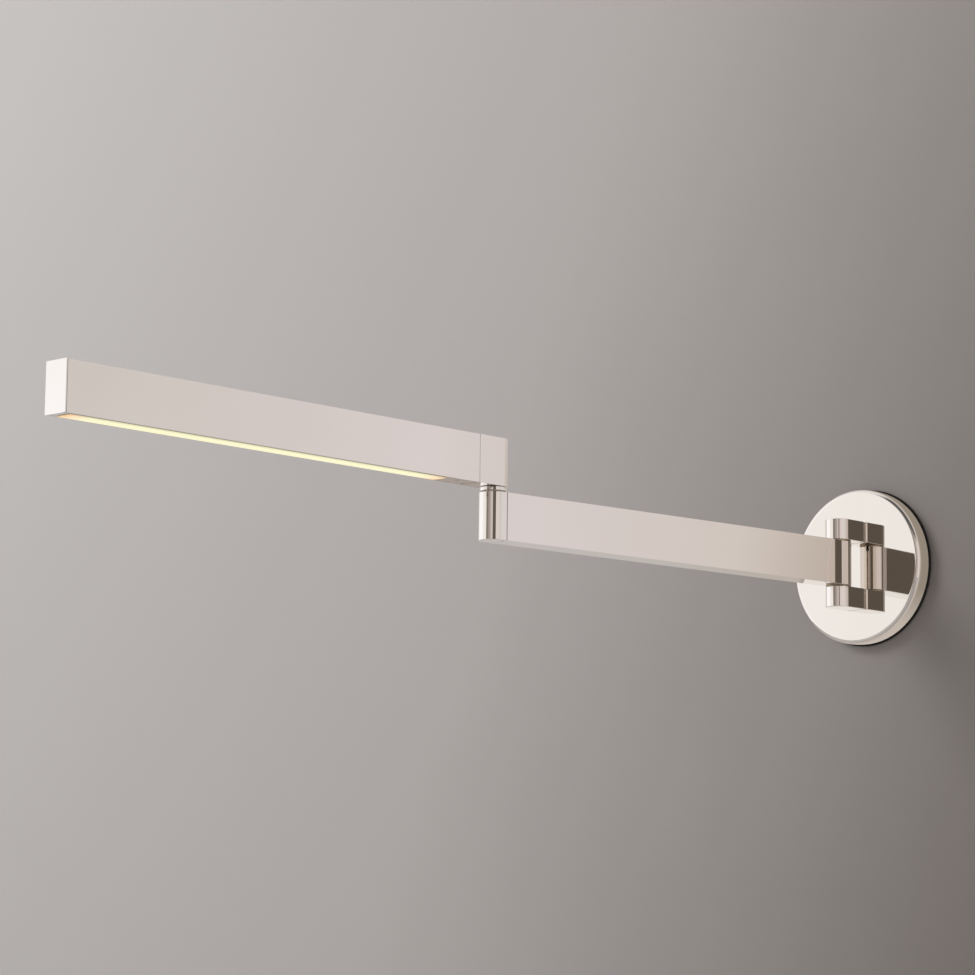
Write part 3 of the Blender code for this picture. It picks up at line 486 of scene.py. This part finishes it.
def knuckle(name, node, at, toward, seam, waist, bores):
    """One end of the arm: half-round towards its joint axis, with a seam to the tube."""
    outline = nose_outline(BAR_RADIUS, seam, toward, end_radius=BAR_RADIUS - waist)
    obj = link(name, extrude(name, outline, -ARM_TOP, ARM_TOP))
    here = place(at, ARM_YAW)
    obj.data.transform(here)
    for hole in bores:
        bore(obj, here, *hole)
    round_edges(obj, EDGE)
    finish_piece(obj, "arm", node, "polished_nickel")


def arm_sleeve():
    """The hollow bar of the arm, drawn in slightly over its last few millimetres at the wall."""
    start, end = WALL_SEAM + SEAM_GAP, ARM_LENGTH - ELBOW_SEAM - SEAM_GAP
    outer_rings = []
    for share, depth in WAIST_CURVE:          # of the waist's length and of its depth
        half = BAR_RADIUS - WAIST_DEPTH * depth
        y = -(start + WAIST_LENGTH * (1.0 - share))
        outer_rings.append([(x, y, z) for x, z in rounded_rectangle(half, ARM_TOP, EDGE)])
    outer_rings.append([(x, -end, z) for x, z in rounded_rectangle(BAR_RADIUS, ARM_TOP, EDGE)])
    inside = rounded_rectangle(BAR_RADIUS - TUBE_WALL, ARM_TOP - TUBE_WALL, TUBE_INNER_CORNER)
    inner_rings = [[(x, y, z) for x, z in inside] for y in (-start, -end)]
    obj = link("arm_sleeve", loft_tube("arm_sleeve", outer_rings, inner_rings))
    here = place((HINGE.x, HINGE.y, 0), ARM_YAW)
    obj.data.transform(here)
    bore(obj, here, COVER_RADIUS + SEAM_GAP, "Z", (0, -ARM_LENGTH, 0), -ARM_TOP - 2 * PAST,
         -ARM_TOP + 3 * PAST)
    for y in (-KNUCKLE_SCREW_Y, -ARM_LENGTH + KNUCKLE_SCREW_Y):
        bore(obj, here, SCREW_HOLE, "X", (0, y, KNUCKLE_SCREW_Z), SIDE_DRILL_START, TUBE_DRILL_END)
    obj.data.shade_smooth()
    obj.data.set_sharp_from_angle(angle=SHARP_ANGLE)
    keep_flats(obj, keep_sharp=True)
    finish_piece(obj, "arm", "arm_tube", "polished_nickel")


def turned_disc(name, node, slot, soft, grow=0.0):
    """A disc about the elbow axis with softened edges and a hole for the stem."""
    low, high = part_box(node)
    radius = (high.x - low.x) / 2 + grow
    bottom, top = low.z, high.z
    profile = [(radius, top - soft), (radius, bottom + soft), (radius - soft, bottom),
               (PIN_HOLE, bottom), (PIN_HOLE, top), (radius - soft, top)]
    obj = link(name, lathe(name, profile, 128))
    obj.data.transform(place((ELBOW.x, ELBOW.y, 0)))
    obj.data.shade_smooth()
    obj.data.set_sharp_from_angle(angle=SHARP_ANGLE)
    finish_piece(obj, "bar_light", node, slot)


def end_block():
    """The solid inner end of the bar light, with its back rounded about the elbow axis."""
    bottom, top = HEAD_LOW.z, HEAD_HIGH.z
    obj = link("bar_end_block", extrude("bar_end_block", nose_outline(BAR_RADIUS, BLOCK_SEAM, 1),
                                        bottom, top))
    here = place((ELBOW.x, ELBOW.y, 0))
    obj.data.transform(here)
    screw_low, screw_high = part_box("stem_screw")
    screw_height = (screw_low.z + screw_high.z) / 2
    bore(obj, here, PIN_HOLE, "Z", (0, 0, 0), bottom - PAST, top - BLOCK_CEILING)
    bore(obj, here, SCREW_HOLE, "X", (0, 0, screw_height), SIDE_DRILL_START, BLOCK_DRILL_END)
    round_edges(obj, EDGE)
    finish_piece(obj, "bar_light", "end_block", "polished_nickel")


def make_pieces():
    plate()
    ear("upper", 1)
    ear("lower", -1)
    pin = (PIN_HOLE, "Z", (0, 0, 0), -DRILL_REACH, DRILL_REACH)
    cover = (COVER_RADIUS + SEAM_GAP, "Z", (0, 0, 0), -DRILL_REACH, CHAMBER_TOP)
    knuckle("wall_end_knuckle", "wall_knuckle", (HINGE.x, HINGE.y, 0), 1, WALL_SEAM, WAIST_DEPTH, [pin])
    knuckle("elbow_end_knuckle", "elbow_knuckle", (ELBOW.x, ELBOW.y, 0), -1, ELBOW_SEAM, 0.0,
            [pin, cover])
    arm_sleeve()
    turned_disc("collar", "elbow_collar", "polished_nickel", COLLAR_EDGE)
    turned_disc("thin_washer", "elbow_washer", "pale_nylon", WASHER_EDGE, WASHER_LIP)
    end_block()


def dress_frame():
    """Gives every CAD node the material of its slot."""
    for name, node in frame["nodes"].items():
        node.data.materials.clear()
        node.data.materials.append(MATERIALS[SLOTS[name]])


# ---------------------------------------------------------------- stage

FLOOR_Z = -1.35
CARD_FAR = (2.29, -2.82)                      # plan ends of a dark screen beside the camera
CARD_NEAR = (0.71, -0.70)
CARD_FOOT = -0.8
CARD_TOP = 1.6
DARK = (0.13, 0.11, 0.09)
FLOOR_HALF = 6.0
WALL_GAP = 0.8 * MM
WALL_LEFT = -3.0
WALL_RIGHT = 2.6
WALL_TOP = 1.6
MIRRORED_FOOT = -1.0                          # of the wall that only the polished metal sees
MIRRORED_TOP = 2.0


def panel(name, corners, material):
    mesh = bpy.data.meshes.new(name)
    mesh.from_pydata(corners, [], [(0, 1, 2, 3)])
    obj = link(name, mesh)
    mesh.materials.append(material)
    return obj


def reflection_only(obj):
    """The panel is seen in polished metal, and nowhere else."""
    obj.visible_camera = False
    obj.visible_diffuse = False
    obj.visible_shadow = False
    obj.visible_transmission = False


def emission_material(name, colour, strength=1.0):
    material = bpy.data.materials.new(name)
    material.use_nodes = True
    tree = material.node_tree
    tree.nodes.clear()
    output = tree.nodes.new("ShaderNodeOutputMaterial")
    glow = tree.nodes.new("ShaderNodeEmission")
    glow.inputs["Color"].default_value = (*colour, 1.0)
    glow.inputs["Strength"].default_value = strength
    tree.links.new(glow.outputs["Emission"], output.inputs["Surface"])
    return material, tree, glow


def open_from_behind(tree, shader):
    """Shows the surface from its front only, so that other views pass through its back."""
    clear = tree.nodes.new("ShaderNodeBsdfTransparent")
    side = tree.nodes.new("ShaderNodeNewGeometry")
    mix = tree.nodes.new("ShaderNodeMixShader")
    tree.links.new(side.outputs["Backfacing"], mix.inputs["Fac"])
    tree.links.new(shader.outputs["BSDF"], mix.inputs[1])
    tree.links.new(clear.outputs["BSDF"], mix.inputs[2])
    tree.links.new(mix.outputs["Shader"], tree.nodes["Material Output"].inputs["Surface"])


def wall_material():
    """Grey plaster with soft mottling, with painted light in its colour: paler to the upper left, with painted
    shade darker towards the plate and the lower right.
    """
    material, tree, shader = new_material("plaster")
    shader.inputs["Roughness"].default_value = 0.9
    shader.inputs["Specular IOR Level"].default_value = 0.1
    vector = object_coords(tree)
    split = tree.nodes.new("ShaderNodeSeparateXYZ")
    tree.links.new(vector, split.inputs["Vector"])
    leftward = math_node(tree, "MULTIPLY", split.outputs["X"], -1.0)
    upward = math_node(tree, "MULTIPLY", split.outputs["Z"], 0.4)
    cloud = spread(tree, noise(tree, vector, 2.2, 5.0, 0.6), -0.03, 0.03)
    place_in = math_node(tree, "ADD", math_node(tree, "ADD", leftward, upward), cloud)
    # painted light and shade: the plaster's colour darkens towards the plate and the lower right
    shade = ramp(tree, spread(tree, place_in, 0.0, 1.0, WALL_FROM, WALL_TO),
                 [((distance - WALL_FROM) / (WALL_TO - WALL_FROM), tone) for distance, tone in PLASTER_PAINTED_LIGHT])
    tree.links.new(shade, shader.inputs["Base Color"])
    tree.links.new(bump(tree, noise(tree, vector, 25.0, 4.0), 0.1, 1.0 * MM), shader.inputs["Normal"])
    open_from_behind(tree, shader)
    return material


# Painted light and shade in the plaster's colour, by distance (metres) leftward and upward from the plate: darkest
# near the plate, palest to the upper left.
WALL_FROM = -0.3
WALL_TO = 1.5
PLASTER_PAINTED_LIGHT = (
    (-0.25, (0.23, 0.21, 0.20)),
    (0.45, (0.49, 0.47, 0.46)),
    (1.5, (0.58, 0.57, 0.57)),
)


def wall_glow_material():
    """What the polished parts see of the wall, as a painted reflection on a glowing sheet: pale, with painted
    shade close round the plate, low to the left under the arm, on the strip that the bar light's cover mirrors and
    high up to the far left.
    """
    material, tree, glow = emission_material("wall_in_reflections", (1, 1, 1))
    vector = object_coords(tree)
    length = tree.nodes.new("ShaderNodeVectorMath")
    length.operation = "LENGTH"
    tree.links.new(vector, length.inputs[0])
    split = tree.nodes.new("ShaderNodeSeparateXYZ")
    tree.links.new(vector, split.inputs["Vector"])
    across, up = split.outputs["X"], split.outputs["Z"]
    distance = spread(tree, length.outputs["Value"], 0.0, 1.0, SHADE_FROM, SHADE_TO)
    stops = [((radius - SHADE_FROM) / (SHADE_TO - SHADE_FROM), tone) for radius, tone in WALL_SHADE]
    # painted shade: a shaded ring round the plate above it, a lit one below it
    shaded = ramp(tree, distance, [(0.0, RING_ABOVE), stops[0]] + stops[1:])
    lit = ramp(tree, distance, [(0.0, RING_BELOW)] + stops[1:])
    below = math_node(tree, "DIVIDE", up, length.outputs["Value"])
    tone = mix_colours(tree, fade_out(tree, below, RING_TURN), shaded, lit)

    low = fade_out(tree, up, LOW_PART)
    # painted shade: the wall low down to the left, which the arm's undersides mirror, is darkened
    under_arm_shade = math_node(tree, "MULTIPLY", fade_out(tree, across, LEFT_PART), low)
    tone = dimmed_where(tree, tone, under_arm_shade, UNDERSIDE_PAINTED_SHADE)
    # painted shade: the strip of wall that the bar light's cover mirrors beside the end block is darkened
    cover_shade = math_node(tree, "MULTIPLY", fade_out(tree, across, PAST_ARM),
                            fade_in(tree, across, BEFORE_LENS))
    cover_shade = math_node(tree, "MULTIPLY", cover_shade, fade_in(tree, up, OVER_ARM))
    cover_shade = math_node(tree, "MULTIPLY", cover_shade, low)
    tone = dimmed_where(tree, tone, cover_shade, COVER_PAINTED_SHADE)
    # painted shade: the wall high up to the far left is darkened in the reflections
    far_left_shade = math_node(tree, "MULTIPLY", fade_out(tree, across, FAR_LEFT_PART),
                         fade_in(tree, up, HIGH_PART))
    tone = dimmed_where(tree, tone, far_left_shade, FAR_LEFT_PAINTED_SHADE)
    tree.links.new(tone, glow.inputs["Color"])
    return material


def fade_out(tree, value, place):
    return spread(tree, value, 1.0, 0.0, *place)


def fade_in(tree, value, place):
    return spread(tree, value, 0.0, 1.0, *place)


def dimmed_where(tree, tone, share, dimming):
    return mix_colours(tree, share, tone, mix_colours(tree, 1.0, tone, dimming, "MULTIPLY"))


# Tone of the wall in the polished parts, with painted shade close round the plate, by distance (metres) from the
# plate's centre.
SHADE_FROM = 0.06
SHADE_TO = 1.1
RING_ABOVE = (0.34, 0.30, 0.25)
RING_BELOW = (0.65, 0.60, 0.55)
RING_TURN = (-0.85, -0.35)                    # sine of the angle where the ring turns from lit to shaded
LEFT_PART = (-0.10, -0.02)                    # the next values are places on the wall, in metres
LOW_PART = (-0.05, -0.01)
PAST_ARM = (-0.42, -0.40)
BEFORE_LENS = (-0.545, -0.525)
OVER_ARM = (-0.092, -0.086)
FAR_LEFT_PART = (-0.16, -0.10)
HIGH_PART = (0.0, 0.03)
# painted shade: how much each of these parts of the mirrored wall is darkened
UNDERSIDE_PAINTED_SHADE = (0.73, 0.74, 0.73, 1.0)
FAR_LEFT_PAINTED_SHADE = (0.83, 0.85, 0.83, 1.0)
COVER_PAINTED_SHADE = (0.72, 0.66, 0.60, 1.0)       # painted shade on the strip that the bar light's cover mirrors, next to the end block
WALL_SHADE = (
    (0.074, RING_ABOVE),
    (0.08, (0.60, 0.53, 0.48)),
    (0.20, (0.75, 0.70, 0.67)),
    (0.50, (0.80, 0.75, 0.76)),
    (1.0, (0.72, 0.69, 0.67)),
)


def floor_material():
    material, tree, shader = new_material("pale_floor")
    vector = object_coords(tree)
    tone = ramp(tree, noise(tree, vector, 3.0, 4.0), [(0.3, (0.72, 0.70, 0.68)), (0.7, (0.78, 0.76, 0.74))])
    tree.links.new(tone, shader.inputs["Base Color"])
    shader.inputs["Roughness"].default_value = 0.6
    open_from_behind(tree, shader)
    return material


def upright(name, a, b, low, high, material):
    """A vertical panel whose foot runs from a to b in plan."""
    corners = [(a[0], a[1], low), (b[0], b[1], low), (b[0], b[1], high), (a[0], a[1], high)]
    return panel(name, corners, material)


def make_stage():
    wall = upright("wall", (WALL_LEFT, WALL_GAP), (WALL_RIGHT, WALL_GAP), FLOOR_Z, WALL_TOP,
                   wall_material())
    wall.visible_glossy = False
    seen_wall = upright("wall_in_reflections", (WALL_LEFT, 2 * WALL_GAP), (-WALL_LEFT, 2 * WALL_GAP),
                        MIRRORED_FOOT, MIRRORED_TOP, wall_glow_material())
    reflection_only(seen_wall)
    corners = [(x * FLOOR_HALF, y * FLOOR_HALF, FLOOR_Z) for x, y in ((-1, -1), (1, -1), (1, 1), (-1, 1))]
    panel("floor", corners, floor_material())
    dark = emission_material("dark_card", DARK)[0]
    reflection_only(upright("dark_card", CARD_FAR, CARD_NEAR, CARD_FOOT, CARD_TOP, dark))


# Brightness around the room as polished metal sees it, by bearing in degrees from straight out
# (-Y) towards the right (+X).
ROOM = (
    (-180, (0.80, 0.75, 0.73)),
    (-140, (0.80, 0.75, 0.73)),
    (-120, (1.13, 1.13, 1.15)),
    (-60, (1.15, 1.15, 1.18)),
    (-48, (1.13, 1.13, 1.16)),
    (-35, (0.98, 0.97, 0.94)),
    (-12, (0.96, 0.94, 0.90)),
    (-8, (0.22, 0.19, 0.17)),
    (1, (0.24, 0.21, 0.19)),
    (8, (0.37, 0.32, 0.29)),
    (20, (0.44, 0.39, 0.37)),
    (26, (0.52, 0.46, 0.44)),
    (32, (0.68, 0.61, 0.58)),
    (48, (0.72, 0.65, 0.62)),
    (70, (0.81, 0.74, 0.72)),
    (110, (0.80, 0.75, 0.72)),
    (180, (0.80, 0.75, 0.73)),
)
# The dark part of it that shows only in the mirror images that the plate and the arm share.
DEEP_BAND = ((20.0, 0.0), (23.0, 1.0), (43.0, 1.0), (46.5, 0.0))
BEYOND_STAGE = (0.66, 0.64, 0.63, 1.0)
CEILING_TURN = (0.45, 0.62)                   # sine of the height where the ceiling takes over
DEEP_RAY = 2.5                                # the ray depth that only such images pass
CEILING = ((-180, 0.9), (-40, 0.9), (-20, 0.13), (120, 0.13), (140, 0.9), (180, 0.9))


def by_bearing(tree, turn, table):
    return ramp(tree, turn, [((degrees + 180) / 360, colour) for degrees, colour in table])


def make_world():
    world = bpy.data.worlds.new("studio")
    bpy.context.scene.world = world
    world.use_nodes = True
    tree = world.node_tree
    background = tree.nodes["Background"]
    coords = tree.nodes.new("ShaderNodeTexCoord")
    split = tree.nodes.new("ShaderNodeSeparateXYZ")
    tree.links.new(coords.outputs["Generated"], split.inputs["Vector"])
    outward = math_node(tree, "MULTIPLY", split.outputs["Y"], -1.0)
    bearing = math_node(tree, "ARCTAN2", split.outputs["X"], outward)
    turn = math_node(tree, "ADD", math_node(tree, "DIVIDE", bearing, 2 * math.pi), 0.5)
    light_path = tree.nodes.new("ShaderNodeLightPath")
    shared = math_node(tree, "GREATER_THAN", light_path.outputs["Ray Depth"], DEEP_RAY)
    band = by_bearing(tree, turn, [(degrees, (share,) * 3) for degrees, share in DEEP_BAND])
    room = mix_colours(tree, math_node(tree, "MULTIPLY", shared, band),
                       by_bearing(tree, turn, ROOM), (*DARK, 1.0))
    top = by_bearing(tree, turn, [(degrees, (tone,) * 3) for degrees, tone in CEILING])
    height = fade_in(tree, split.outputs["Z"], CEILING_TURN)
    around = mix_colours(tree, height, room, top)
    seen = mix_colours(tree, light_path.outputs["Is Camera Ray"], around, BEYOND_STAGE)
    tree.links.new(seen, background.inputs["Color"])
    background.inputs["Strength"].default_value = 1.0


KEY_POSITION = (-1.6, -2.4, 1.3)
KEY_SIZE = 1.2
KEY_POWER = 30.0


def area_light(name, position, target, size, power):
    light = bpy.data.lights.new(name, "AREA")
    light.shape = "DISK"
    light.size = size
    light.energy = power
    obj = bpy.data.objects.new(name, light)
    obj.location = position
    obj.rotation_euler = (Vector(target) - Vector(position)).to_track_quat("-Z", "Y").to_euler()
    obj.visible_glossy = False
    obj.visible_camera = False
    bpy.context.scene.collection.objects.link(obj)


CAMERA_POSITION = Vector((1.6601, -2.1839, -0.3483))
CAMERA_BEARING = math.radians(43.79)
CAMERA_PITCH = math.radians(8.593)
CAMERA_ROLL = math.radians(0.678)
CAMERA_LENS = 123.41


def make_camera():
    data = bpy.data.cameras.new("camera")
    data.lens = CAMERA_LENS
    data.sensor_width = 36.0
    data.clip_start = 0.05
    obj = bpy.data.objects.new("camera", data)
    bpy.context.scene.collection.objects.link(obj)
    turn = (Matrix.Rotation(CAMERA_BEARING, 4, "Z") @ Matrix.Rotation(math.pi / 2 + CAMERA_PITCH, 4, "X")
            @ Matrix.Rotation(CAMERA_ROLL, 4, "Z"))
    obj.matrix_world = Matrix.Translation(CAMERA_POSITION) @ turn
    bpy.context.scene.camera = obj


MATERIALS = make_materials()
dress_frame()
make_pieces()
make_stage()
make_world()
area_light("key", KEY_POSITION, (0.0, 0.0, 0.0), KEY_SIZE, KEY_POWER)
make_camera()
bpy.context.scene.view_settings.view_transform = "Standard"
